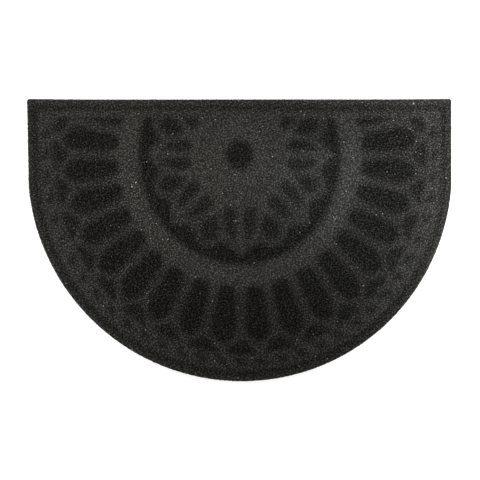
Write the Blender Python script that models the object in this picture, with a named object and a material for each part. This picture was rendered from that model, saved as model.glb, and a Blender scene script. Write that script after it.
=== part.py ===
"""Half-round doormat pressed from rubber crumb, with a sunk rose-window pattern.

Metres, +Z up. X runs along the straight edge and Y from the foot of the arc to the straight edge.
The underside is flat on z = 0, and the origin is the middle of the mat's box there.

The mat is one slab. Its top is sunk in hollows with sloping walls: a groove all round inside the
edge, and the motifs of a rosette whose centre lies near the straight edge, so that the mat cuts the
rosette off above it. A motif is drawn once, beside an axis that leaves the rosette's centre, then
repeated round it, stretched a little down the mat and cut off at a line inside the straight edge.
"""
import math
from collections import namedtuple

import bmesh
import bpy
from mathutils import Vector, geometry

MM = 0.001

# The slab.
WIDTH = 914.4 * MM
DEPTH = 608.0 * MM
THICKNESS = 9.0 * MM
EDGE_BEVEL = 2.0 * MM
CORNER_RADIUS = 4.0 * MM
INNER_CORNER_RADIUS = 1.5 * MM
ARC_RADIUS = WIDTH / 2
SHOULDER = math.radians(5.0)
EDGE_BOW = 1.0 * MM
AXIS_LEAN = 5.8 * MM

ARC_SEGMENTS = 76
EDGE_SEGMENTS = 12
CORNER_SEGMENTS = 2
FILLET_STEP = math.radians(50.0)

# The border groove, as distances in from the edge, halfway down its walls, and how much further in
# it lies along the straight edge.
GROOVE_START = 9.0 * MM
GROOVE_END = 22.0 * MM
GROOVE_START_SHIFT = 3.5 * MM
GROOVE_END_SHIFT = 1.0 * MM
GROOVE_SINK = 2.2 * MM
GROOVE_WALL = 6.0 * MM

# The rosette.
CENTRE_Y = DEPTH / 2 - 120.3 * MM
CUT_OFF_Y = DEPTH / 2 - 39.5 * MM
STRETCH_AT_CENTRE = 1.11
STRETCH_AT_ROPE = 1.07
ROPE_RADIUS = 412.0 * MM
DISC_RADIUS = 28.0 * MM
DISC_SEGMENTS = 28
SCALLOP_OUTER_RADIUS = 217.0 * MM
SCALLOP_OUTER_STEP = math.radians(5.625)
SCALLOP_REACH = 3

SMALLEST_HOLLOW = 60.0 * MM * MM

RUBBER_COLOUR = (0.024, 0.0235, 0.0215, 1.0)
RUBBER_ROUGHNESS = 0.88

# A corner of a motif's outline halfway down its walls, in millimetres: its distance from the
# rosette's centre along the motif's axis, its distance to the right of the axis, and its rounding.
# Corners run counter-clockwise, seen with the axis pointing right and the right side up.
Corner = namedtuple("Corner", "along aside round")

# How often a motif repeats round the whole rosette, the angle from the axis to the arc's foot to
# the first one, how deep it is sunk and how wide its sloping wall is, in degrees and millimetres.
Motif = namedtuple("Motif", "fold first sink wall corners")


def both_sides(half):
    """The corners of a motif that is the same on both sides of its axis, from those on the right."""
    mirrored = [Corner(c.along, -c.aside, c.round) for c in half if c.aside > 0.0]
    return mirrored + list(reversed(half))


def other_side(corners):
    """The corners of the motif that faces this one across the axis."""
    return [Corner(c.along, -c.aside, c.round) for c in reversed(corners)]


WINDOW = both_sides([
    Corner(262.0, 16.0, 12.0),
    Corner(354.0, 24.9, 17.0),
    Corner(380.0, 10.5, 17.0),
])
SPANDREL = both_sides([
    Corner(371.0, 0.0, 2.0),
    Corner(378.0, 11.0, 4.0),
    Corner(388.0, 23.5, 5.0),
    Corner(402.0, 34.5, 3.0),
])
DIAMOND = both_sides([
    Corner(127.0, 0.0, 2.0),
    Corner(146.0, 14.0, 8.0),
    Corner(160.0, 18.5, 9.0),
    Corner(174.0, 15.0, 9.0),
    Corner(182.0, 5.0, 6.0),
])
FLUTE = both_sides([
    Corner(58.0, 0.0, 1.0),
    Corner(80.0, 5.8, 5.0),
    Corner(91.0, 2.0, 2.0),
])
LANCET = [
    Corner(103.5, 8.5, 4.0),
    Corner(160.0, 8.5, 4.0),
    Corner(172.0, 13.0, 3.0),
    Corner(150.0, 28.0, 9.0),
    Corner(130.0, 32.5, 12.0),
    Corner(103.5, 30.0, 6.0),
]
ROPE_DASH = [
    Corner(410.5, -17.0, 4.0),
    Corner(427.0, -2.0, 5.0),
    Corner(427.0, 17.0, 4.0),
    Corner(410.5, 2.0, 5.0),
]

MOTIFS = [
    Motif(fold=32, first=5.625, sink=3.0, wall=8.0, corners=WINDOW),
    Motif(fold=32, first=0.0, sink=2.6, wall=5.0, corners=SPANDREL),
    Motif(fold=8, first=22.5, sink=2.7, wall=7.0, corners=DIAMOND),
    Motif(fold=8, first=0.0, sink=2.5, wall=6.0, corners=LANCET),
    Motif(fold=8, first=0.0, sink=2.5, wall=6.0, corners=other_side(LANCET)),
    Motif(fold=24, first=7.5, sink=1.1, wall=3.0, corners=FLUTE),
]
ROPE = Motif(fold=60, first=0.0, sink=2.3, wall=5.0, corners=ROPE_DASH)
SCALLOPS = Motif(fold=8, first=0.0, sink=3.0, wall=8.0, corners=None)
DISC = Motif(fold=1, first=0.0, sink=2.7, wall=8.0, corners=None)

# The inner edge of the scalloped ring over one eighth of the rosette: pointed tips on the axes
# of the lancets, and round arches over the diamonds. Degrees and millimetres.
ScallopCorner = namedtuple("ScallopCorner", "angle radius round")
SCALLOP_EDGE = [
    ScallopCorner(0.0, 202.5, 2.0),
    ScallopCorner(11.25, 175.0, 9.0),
    ScallopCorner(17.5, 194.0, 12.0),
    ScallopCorner(22.5, 200.5, 12.0),
    ScallopCorner(27.5, 194.0, 12.0),
    ScallopCorner(33.75, 175.0, 9.0),
]
EIGHTH = math.radians(45.0)


def leaned(x, y):
    """A point of the mat, moved by the lean of the mat's axis out of square."""
    return Vector((x + AXIS_LEAN * (DEPTH / 2 - y) / DEPTH, y))


def stretch_at(radius):
    """How many times deeper than wide the rosette's rings are at a radius."""
    return STRETCH_AT_CENTRE + (STRETCH_AT_ROPE - STRETCH_AT_CENTRE) * radius / ROPE_RADIUS


def placed(point, axis):
    """A point drawn beside an upright axis from the rosette's centre, set at its axis on the mat."""
    radius = point.length
    angle = axis + math.atan2(point.y, point.x)
    reach = radius / math.hypot(math.sin(angle), math.cos(angle) / stretch_at(radius))
    return Vector((reach * math.sin(angle), CENTRE_Y - reach * math.cos(angle)))


def signed_area(points):
    """The area inside an outline, positive where it runs counter-clockwise."""
    pairs = zip(points, points[1:] + points[:1])
    return 0.5 * sum(a.x * b.y - b.x * a.y for a, b in pairs)


def grown(points, distance):
    """A counter-clockwise outline moved outward by a distance, its corners kept."""
    moved = []
    for before, here, after in zip(points[-1:] + points[:-1], points, points[1:] + points[:1]):
        edge_in = (here - before).normalized()
        edge_out = (after - here).normalized()
        normal_in = Vector((edge_in.y, -edge_in.x))
        normal_out = Vector((edge_out.y, -edge_out.x))
        mitre = (normal_in + normal_out) / (1.0 + normal_in.dot(normal_out))
        moved.append(here + distance * mitre)
    return moved


def filleted(points, radii):
    """An outline with each corner rounded, as far as the edges beside it have room."""
    rounded = []
    neighbours = zip(points[-1:] + points[:-1], points, points[1:] + points[:1], radii)
    for before, here, after, radius in neighbours:
        to_before = before - here
        to_after = after - here
        turn = math.pi - to_before.angle(to_after)
        room = 0.45 * min(to_before.length, to_after.length)
        cut = min(radius * math.tan(turn / 2), room)
        if cut == 0.0:
            rounded.append(here)
            continue
        segments = math.ceil(turn / FILLET_STEP)
        start = here + to_before.normalized() * cut
        end = here + to_after.normalized() * cut
        for step in range(segments + 1):
            t = step / segments
            rounded.append(start * (1 - t) ** 2 + here * 2 * t * (1 - t) + end * t ** 2)
    return rounded


def cut_off(points, limit):
    """The part of an outline that lies no further up the mat than a line."""
    kept = []
    for here, after in zip(points, points[1:] + points[:1]):
        if here.y <= limit:
            kept.append(here)
        if (here.y - limit) * (after.y - limit) < 0.0:
            kept.append(here.lerp(after, (limit - here.y) / (after.y - here.y)))
    return kept


def contains(points, x, y):
    """Whether an outline goes round a spot."""
    crossings = 0
    for here, after in zip(points, points[1:] + points[:1]):
        if (here.y > y) != (after.y > y):
            crossings += x < here.x + (after.x - here.x) * (y - here.y) / (after.y - here.y)
    return crossings % 2 == 1


def outline(inset, shift=0.0):
    """The mat's outline moved in from its edge, counter-clockwise from its right corner.

    The straight edge bows in at its middle, and lies further in by the shift. The sides run
    straight from the corners to the arc, which starts a little below its own widest row.
    """
    half = WIDTH / 2 - inset
    top = DEPTH / 2 - inset - shift
    rounding = max(CORNER_RADIUS - inset, INNER_CORNER_RADIUS)
    corner = [math.pi / 2 * step / CORNER_SEGMENTS for step in range(CORNER_SEGMENTS + 1)]
    points = []
    for angle in corner:
        across = half - rounding + rounding * math.cos(angle)
        points.append((across, top - rounding + rounding * math.sin(angle)))
    for step in range(1, EDGE_SEGMENTS):
        across = 1.0 - 2.0 * step / EDGE_SEGMENTS
        points.append((across * (half - rounding), top - EDGE_BOW * (1.0 - across ** 8)))
    for angle in reversed(corner):
        across = half - rounding + rounding * math.cos(angle)
        points.append((-across, top - rounding + rounding * math.sin(angle)))
    arc_centre = ARC_RADIUS - DEPTH / 2
    radius = ARC_RADIUS - inset
    for step in range(ARC_SEGMENTS + 1):
        angle = SHOULDER + (math.pi - 2 * SHOULDER) * step / ARC_SEGMENTS
        points.append((-radius * math.cos(angle), arc_centre - radius * math.sin(angle)))
    return [leaned(x, y) for x, y in points]


def motif_outline(motif, axis, grow):
    """One motif's outline on the mat, grown outward from halfway down its walls."""
    points = [Vector((c.along, c.aside)) * MM for c in motif.corners]
    radii = [max(c.round * MM + grow, 0.0) for c in motif.corners]
    rounded = filleted(grown(points, grow), radii)
    return finished([placed(point, axis) for point in rounded], grow)


def scallop_outline(grow):
    """The dark ring round the lancets and diamonds, open at the cut-off line."""
    points = []
    radii = []
    for eighth in range(-SCALLOP_REACH, SCALLOP_REACH):
        for corner in SCALLOP_EDGE:
            angle = eighth * EIGHTH + math.radians(corner.angle)
            points.append(corner.radius * MM * Vector((math.cos(angle), math.sin(angle))))
            radii.append(corner.round * MM)
    reach = SCALLOP_REACH * EIGHTH
    steps = round(2 * reach / SCALLOP_OUTER_STEP)
    for step in range(steps + 1):
        angle = reach - step * SCALLOP_OUTER_STEP
        points.append(SCALLOP_OUTER_RADIUS * Vector((math.cos(angle), math.sin(angle))))
        radii.append(0.0)
    points.reverse()
    radii.reverse()
    rounded = filleted(grown(points, grow), radii)
    return finished([placed(point, 0.0) for point in rounded], grow)


def disc_outline(grow):
    """The round hollow at the rosette's centre."""
    points = []
    for step in range(DISC_SEGMENTS):
        angle = 2 * math.pi * step / DISC_SEGMENTS
        points.append((DISC_RADIUS + grow) * Vector((math.cos(angle), math.sin(angle))))
    return finished([placed(point, 0.0) for point in points], grow)


def finished(points, grow):
    """An outline cut off at the line inside the straight edge and moved by the mat's lean."""
    return [leaned(p.x, p.y) for p in cut_off(points, CUT_OFF_Y + grow)]


def rope_axis(dash):
    """The axis of a dash of the rope, whose dashes are evenly spaced before the stretch."""
    angle = 2 * math.pi * dash / ROPE.fold
    return math.atan2(math.sin(angle), STRETCH_AT_ROPE * math.cos(angle))


def hollows():
    """Every hollow of the rosette: a function that gives its outline, and its motif's sizes."""
    found = [(disc_outline, DISC), (scallop_outline, SCALLOPS)]
    for motif in MOTIFS:
        for index in range(motif.fold):
            axis = math.radians(motif.first) + 2 * math.pi * index / motif.fold
            found.append((outline_at(motif, axis), motif))
    for dash in range(ROPE.fold):
        found.append((outline_at(ROPE, rope_axis(dash)), ROPE))
    return found


def outline_at(motif, axis):
    """A function that gives a motif's outline at one axis, grown by what it is asked for."""
    return lambda grow: motif_outline(motif, axis, grow)


def contours():
    """The level lines of the mat's top inside its bevel, each with its height."""
    lines = [(outline(EDGE_BEVEL), THICKNESS)]
    half_wall = GROOVE_WALL / 2
    floor = THICKNESS - GROOVE_SINK
    lines.append((outline(GROOVE_START - half_wall, GROOVE_START_SHIFT), THICKNESS))
    lines.append((outline(GROOVE_START + half_wall, GROOVE_START_SHIFT), floor))
    lines.append((outline(GROOVE_END - half_wall, GROOVE_END_SHIFT), floor))
    lines.append((outline(GROOVE_END + half_wall, GROOVE_END_SHIFT), THICKNESS))
    for outline_of, motif in hollows():
        half_wall = motif.wall * MM / 2
        floor = outline_of(-half_wall)
        if len(floor) > 2 and abs(signed_area(floor)) > SMALLEST_HOLLOW:
            lines.append((outline_of(half_wall), THICKNESS))
            lines.append((floor, THICKNESS - motif.sink * MM))
    return lines


def top_surface(lines):
    """Triangles between the level lines, as points with heights and faces that look up."""
    flat = []
    heights = []
    edges = []
    for points, height in lines:
        first = len(flat)
        count = len(points)
        flat.extend(points)
        heights.extend([height] * count)
        edges.extend((first + i, first + (i + 1) % count) for i in range(count))
    inside_only = 1
    nearest = 1e-7
    result = geometry.delaunay_2d_cdt(flat, edges, [], inside_only, nearest, True)
    corners, _, faces, sources = result[:4]
    crossings = [p for p, source in zip(corners, sources) if len(source) != 1]
    if crossings:
        raise ValueError("level lines of the top cross or touch at %s" % crossings)
    points = [(p.x, p.y, heights[source[0]]) for p, source in zip(corners, sources)]
    rim = [sources.index([i]) for i in range(len(lines[0][0]))]
    faces = [face for face in faces if lies_within(face, points, set(rim), lines[0][0])]
    return points, faces, rim


def lies_within(face, points, rim, edge):
    """Whether a triangle isn't one that fills the bow of the straight edge."""
    if not rim.issuperset(face):
        return True
    x = sum(points[i][0] for i in face) / 3
    y = sum(points[i][1] for i in face) / 3
    return contains(edge, x, y)


def add_ring(bm, points, height):
    """A closed row of vertices at one height."""
    return [bm.verts.new((p.x, p.y, height)) for p in points]


def join_rings(bm, upper, lower):
    """A wall of quads between two rows of vertices that run counter-clockwise."""
    for i, corner in enumerate(upper):
        j = (i + 1) % len(upper)
        bm.faces.new((lower[i], lower[j], upper[j], corner))


def build_mat():
    """The mat as one closed slab: sunk top, bevel, upright edge and flat underside."""
    points, faces, rim = top_surface(contours())
    bm = bmesh.new()
    top = [bm.verts.new(p) for p in points]
    for face in faces:
        bm.faces.new([top[i] for i in face])
    edge = outline(0.0)
    upper_edge = add_ring(bm, edge, THICKNESS - EDGE_BEVEL)
    lower_edge = add_ring(bm, edge, 0.0)
    join_rings(bm, [top[i] for i in rim], upper_edge)
    join_rings(bm, upper_edge, lower_edge)
    bm.faces.new(list(reversed(lower_edge)))
    bmesh.ops.triangulate(bm, faces=bm.faces[:])
    mesh = bpy.data.meshes.new("mat")
    bm.to_mesh(mesh)
    bm.free()
    mesh.shade_smooth()
    mesh.set_sharp_from_angle(angle=math.radians(25.0))
    mat = bpy.data.objects.new("mat", mesh)
    bpy.context.scene.collection.objects.link(mat)
    mat.data.materials.append(rubber())
    return mat


def rubber():
    """Black rubber crumb."""
    material = bpy.data.materials.new("rubber_crumb")
    material.use_nodes = True
    shader = material.node_tree.nodes["Principled BSDF"]
    shader.inputs["Base Color"].default_value = RUBBER_COLOUR
    shader.inputs["Roughness"].default_value = RUBBER_ROUGHNESS
    shader.inputs["Metallic"].default_value = 0.0
    return material


def clear_scene():
    """Remove the objects that the scene starts with."""
    for old in list(bpy.data.objects):
        bpy.data.objects.remove(old, do_unlink=True)


clear_scene()
build_mat()
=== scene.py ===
"""Looks of a half-round doormat pressed from rubber crumb, laid out as an add-on.

Metres, +Z up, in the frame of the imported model. The slab takes its outline and the heights of its
top from the model's own node, softens the hollows' slopes and is meshed at the crumbs' pitch. Then
a crumb is set on every point of its top and sides, in four sizes that are a piece each.
"""
import math
from collections import namedtuple

import bpy
import numpy as np
from bpy.props import FloatProperty, FloatVectorProperty, IntProperty, PointerProperty
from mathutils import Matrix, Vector, geometry, noise
from mathutils.bvhtree import BVHTree
from mathutils.kdtree import KDTree


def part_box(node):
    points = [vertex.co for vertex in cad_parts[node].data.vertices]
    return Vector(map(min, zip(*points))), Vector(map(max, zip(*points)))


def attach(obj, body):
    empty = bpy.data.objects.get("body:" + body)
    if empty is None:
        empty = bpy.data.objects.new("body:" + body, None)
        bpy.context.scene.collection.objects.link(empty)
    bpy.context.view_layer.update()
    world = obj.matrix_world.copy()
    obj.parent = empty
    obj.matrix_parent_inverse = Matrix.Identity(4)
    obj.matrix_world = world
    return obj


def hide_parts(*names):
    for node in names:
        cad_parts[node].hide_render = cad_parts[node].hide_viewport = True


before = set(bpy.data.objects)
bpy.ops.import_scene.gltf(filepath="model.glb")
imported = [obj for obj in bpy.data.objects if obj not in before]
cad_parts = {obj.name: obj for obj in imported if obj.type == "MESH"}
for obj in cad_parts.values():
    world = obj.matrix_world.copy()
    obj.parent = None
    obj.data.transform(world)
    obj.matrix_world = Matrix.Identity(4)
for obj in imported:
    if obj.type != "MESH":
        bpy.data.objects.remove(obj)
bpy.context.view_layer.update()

bl_info = {
    "name": "Half-round doormat",
    "version": (1, 0, 0),
    "blender": (4, 5, 0),
    "location": "3D View > Sidebar > Doormat",
    "description": "Sets rubber crumb on the pressed slab of a half-round doormat",
    "category": "Object",
}

MM = 0.001
CAD_NODE = "mat"
SLAB_NAME = "mat_slab"
BAKE_MAP = "OFBake"

# The slab under the crumbs. JITTER and EDGE_CLEARANCE are shares of its points' spacing.
DEEPEST_HOLLOW = 3.0 * MM
EDGE_ROUNDING = 2.0 * MM
LOWEST_CRUMB = 1.5 * MM
FOOT_LIMIT = 0.01 * MM
JITTER = 0.3
EDGE_CLEARANCE = 0.7
UNDERSIDE_SPACING = 24.0 * MM
SLAB_SEED = 11

# The cells in which the hollows' depths are averaged, and how many of them the bell curve spans to
# each side.
SETTLING_CELL = 8.0 * MM
BELL_CELLS = 12

# The rubber: where its common and worn shades lie between the darkest and the palest, the dullest
# of the pale crumbs beside the brightest, and the pits in its skin.
COMMON_PLACE = 0.55
WORN_PLACE = 0.97
SPECK_STEP = 0.0005
DULLEST_SPECK = 0.5
PIT_SCALE = 1400.0
PIT_DEPTH = 0.15 * MM
PIT_STRENGTH = 0.6
SMOOTHEST = 0.62
PIT_ROUGHNESS = 0.3
HOLLOW_ROUGHNESS = 0.1
SPECULAR = 0.03
BINDER_SCALE = 420.0
BINDER_PALEST = 0.6

# The camera and the floor. The photograph is 480 pixels wide, and a pixel is 2.1566 mm of floor.
PHOTO_WIDTH = 480
PIXEL = 2.1566 * MM
LENS = 100.0
CAMERA_PLACE = (1.8 * MM, 0.3 * MM)
FLOOR_REACH = 6.0

# The lamps: where each is, the point that it faces, its width, how far its light spreads and the
# colour of its light.
Lamp = namedtuple("Lamp", "place aim width spread colour")
RIGHT_LAMP = Lamp((0.66, 0.0, 0.6), (0.5, 0.165, 0.0), 0.6, math.radians(68.0), (0.97, 0.985, 1.0))
LEFT_LAMP = Lamp((-0.46, 0.36, 0.54), (-0.18, 0.0, 0.0), 0.6, math.radians(81.0), (1.0, 0.985, 0.955))
POOL_LAMP = Lamp((0.5, 0.35, 0.6), (0.17, 0.12, 0.0), 0.1, math.radians(18.0), (0.75, 0.88, 1.0))

# Where the room's walls pass into its ceiling, as heights on a sphere round the stage.
WALL_HEIGHT = (0.15, 0.3)

# The crumbs, by sieve size: how wide each size is beside the mean. CRUMB_REACH is how far a crumb's
# corners reach beside its radius, and SHADE_CONTRAST sets each one's shade off from those around it.
CRUMB_SIZES = {
    "crumbs_fine": 0.8,
    "crumbs_small": 0.93,
    "crumbs_medium": 1.05,
    "crumbs_coarse": 1.22,
}
CRUMB_SEED = 23
CRUMB_REACH = (0.7, 1.3)
SHADE_CONTRAST = 0.8
CRUMB_CORNERS = np.array(
    [(1, 0, 0), (-1, 0, 0), (0, 1, 0), (0, -1, 0), (0, 0, 1), (0, 0, -1)], float
)
CRUMB_FACES = np.array([
    (0, 2, 4), (2, 1, 4), (1, 3, 4), (3, 0, 4),
    (2, 0, 5), (1, 2, 5), (3, 1, 5), (0, 3, 5),
])


class SlabSettings(bpy.types.PropertyGroup):
    """Sizes of the slab that the crumbs are set on."""

    pitch: FloatProperty(
        name="Pitch", description="Distance from crumb to crumb",
        default=2.8 * MM, min=1.0 * MM, unit="LENGTH",
    )
    cover: FloatProperty(
        name="Cover", description="How far the slab lies under the pressed top",
        default=0.7 * MM, min=0.0, unit="LENGTH",
    )
    softening: IntProperty(
        name="Softening", description="How often the hollows' slopes are smoothed",
        default=6, min=0,
    )
    settling: FloatProperty(
        name="Settling", description="How far the ridges are pressed down near the hollows",
        default=1.0, min=0.0, max=1.0, subtype="FACTOR",
    )
    settling_reach: FloatProperty(
        name="Settling reach", description="How far from a hollow the ridges are pressed down",
        default=20.0 * MM, min=8.0 * MM, unit="LENGTH",
    )
    unevenness: FloatProperty(
        name="Unevenness", description="How far the pressed top rises and falls",
        default=0.2 * MM, min=0.0, unit="LENGTH",
    )
    patch: FloatProperty(
        name="Patch", description="How wide the uneven patches are",
        default=18.0 * MM, min=1.0 * MM, unit="LENGTH",
    )


class CrumbSettings(bpy.types.PropertyGroup):
    """Sizes and colours of the rubber crumb."""

    radius: FloatProperty(
        name="Radius", description="Mean distance from a crumb's middle to its corners",
        default=1.95 * MM, min=0.2 * MM, unit="LENGTH",
    )
    flatness: FloatProperty(
        name="Flatness", description="Height of a crumb beside its width, after pressing",
        default=0.6, min=0.1, max=1.0, subtype="FACTOR",
    )
    darkest: FloatVectorProperty(
        name="Darkest", description="Colour of the darkest crumbs of the ridges",
        default=(0.0115, 0.0112, 0.0102), size=3, min=0.0, max=1.0, subtype="COLOR",
    )
    common: FloatVectorProperty(
        name="Common", description="Colour of the most common crumbs of the ridges",
        default=(0.0322, 0.0314, 0.0289), size=3, min=0.0, max=1.0, subtype="COLOR",
    )
    worn: FloatVectorProperty(
        name="Worn", description="Colour of the palest black crumbs of the ridges",
        default=(0.103, 0.1, 0.0925), size=3, min=0.0, max=1.0, subtype="COLOR",
    )
    speck: FloatVectorProperty(
        name="Speck", description="Colour of the few pale crumbs",
        default=(0.39, 0.364, 0.312), size=3, min=0.0, max=1.0, subtype="COLOR",
    )
    speck_share: FloatProperty(
        name="Speck share", description="Share of the crumbs that are pale",
        default=0.0035, min=0.0, max=0.1, subtype="FACTOR",
    )
    hollow_shade: FloatProperty(
        name="Hollow shade", description="How much darker the crumbs at a hollow's bottom are",
        default=0.77, min=0.0, max=1.0, subtype="FACTOR",
    )
    hollow_contrast: FloatProperty(
        name="Hollow contrast", description="How much more the crumbs differ down in a hollow",
        default=0.21, min=0.0, max=0.5, subtype="FACTOR",
    )


class StageSettings(bpy.types.PropertyGroup):
    """The floor, the light and the camera."""

    view_width: FloatProperty(
        name="View width", description="Width of the floor that the camera sees",
        default=PHOTO_WIDTH * PIXEL, unit="LENGTH",
    )
    floor_colour: FloatVectorProperty(
        name="Floor", description="Colour of the floor",
        default=(0.35, 0.35, 0.35), size=3, min=0.0, max=1.0, subtype="COLOR",
    )
    floor_glow: FloatProperty(
        name="Floor glow", description="Light of the floor's own, which keeps it white",
        default=0.8, min=0.0,
    )
    ceiling: FloatProperty(
        name="Ceiling", description="Brightness of the room above the mat",
        default=0.645, min=0.0,
    )
    walls: FloatProperty(
        name="Walls", description="Brightness of the room's walls, low down all round",
        default=1.0, min=0.0,
    )
    right_power: FloatProperty(
        name="Right lamp", description="Power of the lamp up beyond the right rim",
        default=2.4, min=0.0, unit="POWER",
    )
    left_power: FloatProperty(
        name="Left lamp", description="Power of the lamp above the left corner",
        default=1.72, min=0.0, unit="POWER",
    )
    pool_power: FloatProperty(
        name="Pool lamp", description="Power of the small lamp that pools on the band's right",
        default=0.06, min=0.0, unit="POWER",
    )


class Wire:
    """A socket in a material's node tree. Arithmetic on it adds the Math nodes."""

    def __init__(self, tree, socket=None):
        self.tree = tree
        self.socket = socket

    def node(self, kind, settings, values, output=None):
        """Add a node, set it up, fill or link its sockets, and give an output, or its first."""
        made = self.tree.nodes.new(kind)
        for name, value in settings.items():
            if name == "stops":
                set_stops(made.color_ramp, value)
            else:
                setattr(made, name, value)
        sockets = {socket.identifier: socket for socket in made.inputs}
        for name, value in values.items():
            if isinstance(value, Wire):
                self.tree.links.new(value.socket, sockets[name])
            else:
                sockets[name].default_value = value
        outputs = [s for s in made.outputs if output in (None, s.identifier)]
        return Wire(self.tree, outputs[0] if outputs else None)

    def maths(self, operation, first, second):
        """A Math node of two values."""
        return self.node(
            "ShaderNodeMath", {"operation": operation}, {"Value": first, "Value_001": second}
        )

    def __add__(self, other):
        return self.maths("ADD", self, other)

    def __radd__(self, other):
        return self.maths("ADD", other, self)

    def __sub__(self, other):
        return self.maths("SUBTRACT", self, other)

    def __rsub__(self, other):
        return self.maths("SUBTRACT", other, self)

    def __mul__(self, other):
        return self.maths("MULTIPLY", self, other)

    def __rmul__(self, other):
        return self.maths("MULTIPLY", other, self)


def set_stops(ramp, stops):
    """Give a colour ramp its stops, as places and colours."""
    while len(ramp.elements) < len(stops):
        ramp.elements.new(1.0)
    for element, (place, colour) in zip(ramp.elements, stops):
        element.position = place
        element.color = (*colour, 1.0)


def new_material(name):
    """A material with an empty node tree but for its output, and the start of its wiring."""
    material = bpy.data.materials.new(name)
    material.use_nodes = True
    material.node_tree.nodes.clear()
    return material, Wire(material.node_tree)


def finish_surface(wire, values):
    """The surface shader of a material, joined to its output."""
    surface = wire.node("ShaderNodeBsdfPrincipled", {}, values)
    wire.node("ShaderNodeOutputMaterial", {}, {"Surface": surface})


def attribute(wire, name):
    """A number that the mesh keeps at its points."""
    settings = {"attribute_name": name, "attribute_type": "GEOMETRY"}
    return wire.node("ShaderNodeAttribute", settings, {}, "Fac")


def rubber_material(name, shade_of, sizes):
    """Matt black rubber: a shade of its own for each crumb, darker down in the hollows."""
    material, wire = new_material(name)
    place = wire.node("ShaderNodeTexCoord", {}, {}, "Object")
    shade = shade_of(wire, place)
    first_speck = 1.0 - sizes.speck_share
    crumb = wire.node(
        "ShaderNodeValToRGB",
        {"stops": [
            (0.0, sizes.darkest),
            (COMMON_PLACE, sizes.common),
            (WORN_PLACE, sizes.worn),
            (first_speck - SPECK_STEP, sizes.worn),
            (first_speck, [DULLEST_SPECK * c for c in sizes.speck]),
            (1.0, sizes.speck),
        ]},
        {"Fac": shade},
        "Color",
    )
    depth = attribute(wire, "sink")
    hollow = sizes.hollow_shade + sizes.hollow_contrast * (0.5 - shade)
    light = 1.0 - depth * hollow
    colour = wire.node(
        "ShaderNodeMix",
        {"data_type": "RGBA"},
        {"Factor_Float": light, "A_Color": (0.0, 0.0, 0.0, 1.0), "B_Color": crumb},
        "Result_Color",
    )
    pits = wire.node(
        "ShaderNodeTexNoise", {}, {"Vector": place, "Scale": PIT_SCALE, "Detail": 2.0}, "Fac"
    )
    relief = wire.node(
        "ShaderNodeBump", {}, {"Height": pits, "Distance": PIT_DEPTH, "Strength": PIT_STRENGTH}
    )
    finish_surface(wire, {
        "Base Color": colour,
        "Roughness": SMOOTHEST + PIT_ROUGHNESS * pits + HOLLOW_ROUGHNESS * depth,
        "Specular IOR Level": SPECULAR,
        "Normal": relief,
    })
    return material


def crumb_shade(wire, place):
    """The shade that each crumb carries."""
    return attribute(wire, "shade")


def binder_shade(wire, place):
    """Shades of the fine crumb and binder between and under the set crumbs."""
    grain = wire.node(
        "ShaderNodeTexVoronoi", {"feature": "F1"}, {"Vector": place, "Scale": BINDER_SCALE}, "Color"
    )
    red = wire.node("ShaderNodeSeparateColor", {}, {"Color": grain}, "Red")
    return red * BINDER_PALEST


def outline_of(node, spacing):
    """Evenly spaced points round a node's foot, counter-clockwise, and their outward normals."""
    corners = np.empty(3 * len(node.data.vertices))
    node.data.vertices.foreach_get("co", corners)
    corners = corners.reshape(-1, 3)
    foot = np.unique(np.round(corners[corners[:, 2] < FOOT_LIMIT, :2], 6), axis=0)
    foot = foot[np.argsort(np.arctan2(foot[:, 1], foot[:, 0]))]
    closed = np.vstack([foot, foot[:1]])
    along = np.concatenate([[0.0], np.cumsum(np.hypot(*np.diff(closed, axis=0).T))])
    count = round(along[-1] / spacing)
    stops = np.arange(count) * along[-1] / count
    points = np.column_stack([np.interp(stops, along, closed[:, i]) for i in (0, 1)])
    ahead = np.roll(points, -1, axis=0) - np.roll(points, 1, axis=0)
    outward = np.column_stack([ahead[:, 1], -ahead[:, 0]])
    outward /= np.linalg.norm(outward, axis=1, keepdims=True)
    return points, outward


def depth_inside(points, edge, outward):
    """How far points lie inside an outline, less than nothing outside it."""
    tree = KDTree(len(edge))
    for i, (x, y) in enumerate(edge):
        tree.insert((x, y, 0.0), i)
    tree.balance()
    nearest = np.array([tree.find((x, y, 0.0))[1] for x, y in points])
    return np.einsum("ij,ij->i", edge[nearest] - points, outward[nearest])


def staggered_points(edge, outward, spacing, rng):
    """Points in staggered rows, each shifted a little, clear of the outline around them."""
    low = edge.min(axis=0)
    high = edge.max(axis=0)
    columns = np.arange(low[0], high[0], spacing)
    rows = np.arange(low[1], high[1], spacing * math.sqrt(3.0) / 2)
    across, up = np.meshgrid(columns, rows)
    across[1::2] += spacing / 2
    points = np.column_stack([across.ravel(), up.ravel()])
    points += rng.uniform(-JITTER, JITTER, points.shape) * spacing
    return points[depth_inside(points, edge, outward) > EDGE_CLEARANCE * spacing]


def triangulated(edge, inner):
    """Triangles over an outline and the points inside it, which follow it in the numbering.

    Those outside the outline are peeled off, from the sides that no other triangle shares.
    """
    count = len(edge)
    points = [Vector(p) for p in np.vstack([edge, inner])]
    ring = [(i, (i + 1) % count) for i in range(count)]
    whole_hull = 0
    faces = geometry.delaunay_2d_cdt(points, ring, [], whole_hull, 0.0, False)[2]
    faces = np.array(faces)
    numbered = np.array([len(points), 1])
    sides = np.sort(faces[:, [[0, 1], [1, 2], [2, 0]]], axis=2) @ numbered
    names, which, uses = np.unique(sides, return_inverse=True, return_counts=True)
    which = which.reshape(sides.shape)
    off_outline = ~np.isin(names, np.sort(ring, axis=1) @ numbered)
    kept = np.ones(len(faces), bool)
    while True:
        loose = kept & (off_outline & (uses == 1))[which].any(axis=1)
        if not loose.any():
            return faces[kept]
        kept &= ~loose
        np.subtract.at(uses, which[loose], 1)


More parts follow.
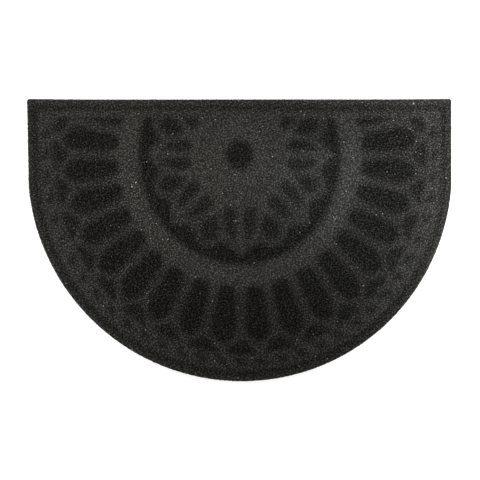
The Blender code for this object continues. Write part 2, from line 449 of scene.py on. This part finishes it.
class Neighbours:
    """Which points of a mesh are joined by an edge."""

    def __init__(self, faces, count):
        pairs = np.vstack([faces[:, [0, 1]], faces[:, [1, 2]], faces[:, [2, 0]]])
        self.here, self.there = np.vstack([pairs, pairs[:, ::-1]]).T
        self.count = np.bincount(self.here, minlength=count)

    def mean(self, values):
        """The mean of each point's neighbours."""
        sums = np.bincount(self.here, weights=values[self.there], minlength=len(self.count))
        return sums / self.count

    def softened(self, values, times, fixed=0):
        """Values averaged with their neighbours' a few times. The first ones may stay fixed."""
        for _ in range(times):
            mean = (values + self.mean(values)) / 2
            values = np.concatenate([values[:fixed], mean[fixed:]])
        return values


def mean_around(flat, values, reach):
    """The mean of the values of the points around each point, weighted by a bell curve."""
    low = flat.min(axis=0) - SETTLING_CELL
    cell = (flat - low) / SETTLING_CELL
    shape = cell.max(axis=0).astype(int) + 3
    steps = np.arange(-BELL_CELLS, BELL_CELLS + 1) * SETTLING_CELL / reach
    bell = np.exp(-steps**2 / 2)
    whole = cell.round().astype(int)
    layers = []
    for weights in (values, np.ones(len(values))):
        layer = np.zeros(shape)
        np.add.at(layer, tuple(whole.T), weights)
        for axis in (0, 1):
            layer = np.apply_along_axis(np.convolve, axis, layer, bell, "same")
        layers.append(layer)
    mean = layers[0] / layers[1]
    corner = cell.astype(int)
    right, up = (cell - corner).T
    i, j = corner.T
    lower = mean[i, j] * (1.0 - right) + mean[i + 1, j] * right
    upper = mean[i, j + 1] * (1.0 - right) + mean[i + 1, j + 1] * right
    return lower * (1.0 - up) + upper * up


def even_shares(values):
    """Each value's place in their order, from 0 for the lowest to 1 for the highest."""
    places = np.empty(len(values))
    places[np.argsort(values)] = np.linspace(0.0, 1.0, len(values))
    return places


def heights_of(node, points):
    """The heights of a node's top at points."""
    tree = BVHTree.FromObject(node, bpy.context.evaluated_depsgraph_get())
    above = 0.1
    down = Vector((0.0, 0.0, -1.0))
    return np.array([tree.ray_cast((x, y, above), down)[0].z for x, y in points])


def new_piece(name, points, faces, material, numbers, smooth):
    """A mesh object of triangles, with numbers kept at its points."""
    mesh = bpy.data.meshes.new(name)
    mesh.vertices.add(len(points))
    mesh.vertices.foreach_set("co", np.asarray(points, np.float32).ravel())
    mesh.loops.add(3 * len(faces))
    mesh.loops.foreach_set("vertex_index", np.asarray(faces, np.int32).ravel())
    mesh.polygons.add(len(faces))
    mesh.polygons.foreach_set("loop_start", np.arange(0, 3 * len(faces), 3, dtype=np.int32))
    mesh.update(calc_edges=True)
    for key, values in numbers.items():
        kept = mesh.attributes.new(key, "FLOAT", "POINT")
        kept.data.foreach_set("value", np.asarray(values, np.float32))
    if smooth:
        mesh.shade_smooth()
    else:
        mesh.shade_flat()
    mesh.materials.append(material)
    piece = bpy.data.objects.new(name, mesh)
    bpy.context.scene.collection.objects.link(piece)
    return piece


def set_bake_map(piece, places):
    """Lay a piece's faces out flat, from a place for each corner of each face."""
    low = places.min(axis=0)
    span = (places.max(axis=0) - low).max()
    layer = piece.data.uv_layers.new(name=BAKE_MAP)
    layer.uv.foreach_set("vector", ((places - low) / span).astype(np.float32).ravel())


def ride_along(piece):
    """Let a piece go with the mat."""
    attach(piece, "root")


def edge_rows(edge, outward, top, sizes):
    """The rows of points that round the slab's edge and lead down to its foot."""
    rows = []
    for angle in np.radians([90.0, 45.0, 0.0]):
        inset = EDGE_ROUNDING * (1.0 - math.cos(angle))
        rows.append((inset, top - EDGE_ROUNDING * (1.0 - math.sin(angle))))
    shoulder = rows[-1][1]
    rows.append((0.0, (shoulder + LOWEST_CRUMB) / 2))
    rows.append((0.0, LOWEST_CRUMB))
    rows.append((0.0, 0.0))
    return [np.column_stack([edge - inset * outward, np.full(len(edge), height)])
            for inset, height in rows]


def wall_faces(upper, lower, count):
    """Triangles between two rows of points, given by the number of each row's first point."""
    here = np.arange(count)
    after = (here + 1) % count
    return np.vstack([
        np.column_stack([lower + here, lower + after, upper + after]),
        np.column_stack([lower + here, upper + after, upper + here]),
    ])


class DOORMAT_OT_press_slab(bpy.types.Operator):
    """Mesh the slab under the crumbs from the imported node"""

    bl_idname = "doormat.press_slab"
    bl_label = "Press slab"

    def execute(self, context):
        sizes = context.scene.doormat_slab
        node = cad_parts[CAD_NODE]
        rng = np.random.default_rng(SLAB_SEED)
        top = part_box(CAD_NODE)[1].z - sizes.cover
        edge, outward = outline_of(node, sizes.pitch)
        count = len(edge)
        rows = edge_rows(edge, outward, top, sizes)
        rim = rows[0][:, :2]
        inner = staggered_points(rim, outward, sizes.pitch, rng)
        top_faces = triangulated(rim, inner)

        heights = heights_of(node, inner) - sizes.cover
        heights = np.concatenate([rows[0][:, 2], heights])
        beside = Neighbours(top_faces, len(heights))
        heights = beside.softened(heights, sizes.softening, fixed=count)
        sink = (top - heights) / DEEPEST_HOLLOW
        flat = np.vstack([rim, inner])
        around = mean_around(flat, sink, sizes.settling_reach)
        sink += sizes.settling * around * (1.0 - sink)
        rise = [noise.noise((x / sizes.patch, y / sizes.patch, 0.0)) for x, y in inner]
        heights[count:] = top - DEEPEST_HOLLOW * sink[count:] + sizes.unevenness * np.array(rise)

        points = [np.column_stack([flat, heights])]
        faces = [top_faces]
        firsts = [0]
        total = len(flat)
        for row in rows[1:]:
            faces.append(wall_faces(firsts[-1], total, count))
            firsts.append(total)
            points.append(row)
            total += count
        foot = rows[-1][:, :2]
        under = staggered_points(foot, outward, UNDERSIDE_SPACING, rng)
        under_faces = triangulated(foot, under)
        under_faces = np.where(
            under_faces < count, under_faces + firsts[-1], under_faces - count + total
        )
        faces.append(under_faces[:, ::-1])
        points.append(np.column_stack([under, np.zeros(len(under))]))
        points = np.vstack(points)
        faces = np.vstack(faces)
        sink = np.concatenate([sink, np.zeros(len(points) - len(sink))])
        shade = rng.random(len(points))
        beside = Neighbours(faces, len(points))
        shade = even_shares(shade - SHADE_CONTRAST * beside.mean(shade))

        material = rubber_material("binder", binder_shade, context.scene.doormat_crumbs)
        numbers = {"sink": sink, "shade": shade}
        slab = new_piece(SLAB_NAME, points, faces, material, numbers, True)
        slab["crumbed"] = int(firsts[-1])
        set_bake_map(slab, self.laid_out(points, faces, len(under_faces), top))
        ride_along(slab)
        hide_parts(CAD_NODE)
        return {"FINISHED"}

    def laid_out(self, points, faces, under_count, top):
        """The slab's faces laid flat: its walls unfolded round the top, its underside beside."""
        places = points[faces][:, :, :2].copy()
        drop = top - points[faces][:, :, 2:]
        walls = places / np.linalg.norm(places, axis=2, keepdims=True)
        lower = len(faces) - under_count
        places[:lower] += (walls * drop)[:lower]
        places[lower:] = places[lower:] / 2 + (0.0, 0.5)
        return places.reshape(-1, 2)


class DOORMAT_OT_set_crumbs(bpy.types.Operator):
    """Set a crumb on every point of the slab's top and sides"""

    bl_idname = "doormat.set_crumbs"
    bl_label = "Set crumbs"

    def execute(self, context):
        sizes = context.scene.doormat_crumbs
        slab = bpy.data.objects[SLAB_NAME]
        rng = np.random.default_rng(CRUMB_SEED)
        count = slab["crumbed"]
        seats = self.kept_at_points(slab, "co", 3)[:count]
        normals = self.kept_at_points(slab, "normal", 3)[:count]
        numbers = {key: self.number_at_points(slab, key) for key in ("sink", "shade")}
        material = rubber_material("crumb", crumb_shade, sizes)
        share = rng.permutation(count) % len(CRUMB_SIZES)
        for index, (name, scale) in enumerate(CRUMB_SIZES.items()):
            mine = np.flatnonzero(share == index)
            corners = self.crumbs(seats[mine], normals[mine], scale * sizes.radius, sizes, rng)
            faces = CRUMB_FACES[None] + len(CRUMB_CORNERS) * np.arange(len(mine))[:, None, None]
            faces = faces.reshape(-1, 3)
            mine_only = {
                key: np.repeat(values[mine], len(CRUMB_CORNERS))
                for key, values in numbers.items()
            }
            piece = new_piece(name, corners.reshape(-1, 3), faces, material, mine_only, False)
            drop = seats[:, 2].max() - seats[mine, 2]
            places = corners[:, :, :2] + (normals[mine, :2] * drop[:, None])[:, None]
            set_bake_map(piece, places.reshape(-1, 2)[faces.ravel()])
            ride_along(piece)
        return {"FINISHED"}

    def kept_at_points(self, piece, key, width):
        """What a mesh keeps at its points, as rows of numbers."""
        values = np.empty(width * len(piece.data.vertices), np.float32)
        piece.data.vertices.foreach_get(key, values)
        return values.reshape(-1, width).astype(float)

    def number_at_points(self, piece, key):
        """A number that a mesh keeps at its points."""
        values = np.empty(len(piece.data.vertices), np.float32)
        piece.data.attributes[key].data.foreach_get("value", values)
        return values

    def crumbs(self, seats, normals, radius, sizes, rng):
        """The corners of crumbs of uneven shape, turned any way and pressed flat on their seats."""
        count = len(seats)
        reach = radius * rng.uniform(*CRUMB_REACH, (count, len(CRUMB_CORNERS), 1))
        corners = CRUMB_CORNERS[None] * reach
        turns = rng.normal(size=(count, 4))
        turns /= np.linalg.norm(turns, axis=1, keepdims=True)
        real = turns[:, None, :1]
        axis = np.broadcast_to(turns[:, None, 1:], corners.shape)
        swing = 2.0 * np.cross(axis, corners)
        corners = corners + real * swing + np.cross(axis, swing)
        height = np.einsum("ijk,ik->ij", corners, normals)[:, :, None]
        corners += (sizes.flatness - 1.0) * height * normals[:, None]
        corners += seats[:, None]
        corners[:, :, 2] = np.maximum(corners[:, :, 2], 0.0)
        return corners


class DOORMAT_OT_set_stage(bpy.types.Operator):
    """Lay the floor, hang the lamps and place the camera above the mat"""

    bl_idname = "doormat.set_stage"
    bl_label = "Set stage"

    def execute(self, context):
        sizes = context.scene.doormat_stage
        context.scene.view_settings.view_transform = "Standard"
        self.lay_floor(context, sizes)
        self.light_sky(context, sizes)
        self.hang_lamp("right_lamp", sizes.right_power, RIGHT_LAMP)
        self.hang_lamp("left_lamp", sizes.left_power, LEFT_LAMP)
        self.hang_lamp("pool_lamp", sizes.pool_power, POOL_LAMP)
        self.place_camera(context, sizes)
        return {"FINISHED"}

    def lay_floor(self, context, sizes):
        """A wide pale floor that the mat lies on."""
        material, wire = new_material("floor")
        finish_surface(wire, {
            "Base Color": (*sizes.floor_colour, 1.0),
            "Roughness": 0.9,
            "Emission Color": (1.0, 1.0, 1.0, 1.0),
            "Emission Strength": sizes.floor_glow,
        })
        sides = [(-1, -1), (1, -1), (1, 1), (-1, 1)]
        corners = [(x * FLOOR_REACH, y * FLOOR_REACH, 0.0) for x, y in sides]
        mesh = bpy.data.meshes.new("floor")
        mesh.from_pydata(corners, [], [(0, 1, 2, 3)])
        mesh.materials.append(material)
        floor = bpy.data.objects.new("floor", mesh)
        context.scene.collection.objects.link(floor)

    def light_sky(self, context, sizes):
        """A room round the stage, with pale walls low down and a dim ceiling."""
        world = bpy.data.worlds.new("room")
        world.use_nodes = True
        world.node_tree.nodes.clear()
        wire = Wire(world.node_tree)
        towards = wire.node("ShaderNodeTexCoord", {}, {}, "Generated")
        height = wire.node("ShaderNodeSeparateXYZ", {}, {"Vector": towards}, "Z")
        rise = wire.node(
            "ShaderNodeMapRange",
            {"interpolation_type": "SMOOTHSTEP"},
            {
                "Value": height,
                "From Min": WALL_HEIGHT[0],
                "From Max": WALL_HEIGHT[1],
                "To Min": sizes.walls,
                "To Max": sizes.ceiling,
            },
            "Result",
        )
        light = wire.node("ShaderNodeBackground", {}, {"Strength": rise})
        wire.node("ShaderNodeOutputWorld", {}, {"Surface": light})
        context.scene.world = world

    def hang_lamp(self, name, power, build):
        """A soft round lamp that faces a point of the mat."""
        light = bpy.data.lights.new(name, "AREA")
        light.shape = "DISK"
        light.size = build.width
        light.spread = build.spread
        light.energy = power
        light.color = build.colour
        lamp = bpy.data.objects.new(name, light)
        lamp.location = build.place
        aim = Vector(build.aim) - lamp.location
        lamp.rotation_euler = aim.to_track_quat("-Z", "Y").to_euler()
        bpy.context.scene.collection.objects.link(lamp)

    def place_camera(self, context, sizes):
        """A camera that looks straight down on the mat, with the straight edge up."""
        lens = bpy.data.cameras.new("camera")
        lens.lens = LENS
        camera = bpy.data.objects.new("camera", lens)
        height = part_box(CAD_NODE)[1].z + sizes.view_width * LENS / lens.sensor_width
        camera.location = (*CAMERA_PLACE, height)
        context.scene.collection.objects.link(camera)
        context.scene.camera = camera


class DOORMAT_PT_steps(bpy.types.Panel):
    """The steps that make the mat, with their sizes"""

    bl_idname = "DOORMAT_PT_steps"
    bl_label = "Doormat"
    bl_space_type = "VIEW_3D"
    bl_region_type = "UI"
    bl_category = "Doormat"

    def draw(self, context):
        steps = [
            (DOORMAT_OT_press_slab, context.scene.doormat_slab),
            (DOORMAT_OT_set_crumbs, context.scene.doormat_crumbs),
            (DOORMAT_OT_set_stage, context.scene.doormat_stage),
        ]
        for operator, sizes in steps:
            box = self.layout.box()
            for name in sizes.__annotations__:
                box.prop(sizes, name)
            box.operator(operator.bl_idname)


CLASSES = (
    SlabSettings,
    CrumbSettings,
    StageSettings,
    DOORMAT_OT_press_slab,
    DOORMAT_OT_set_crumbs,
    DOORMAT_OT_set_stage,
    DOORMAT_PT_steps,
)


def register():
    for known in CLASSES:
        bpy.utils.register_class(known)
    bpy.types.Scene.doormat_slab = PointerProperty(type=SlabSettings)
    bpy.types.Scene.doormat_crumbs = PointerProperty(type=CrumbSettings)
    bpy.types.Scene.doormat_stage = PointerProperty(type=StageSettings)


def unregister():
    del bpy.types.Scene.doormat_stage
    del bpy.types.Scene.doormat_crumbs
    del bpy.types.Scene.doormat_slab
    for known in reversed(CLASSES):
        bpy.utils.unregister_class(known)


def main():
    """Make the mat and its stage."""
    register()
    bpy.ops.doormat.press_slab()
    bpy.ops.doormat.set_crumbs()
    bpy.ops.doormat.set_stage()


if __name__ == "__main__":
    main()
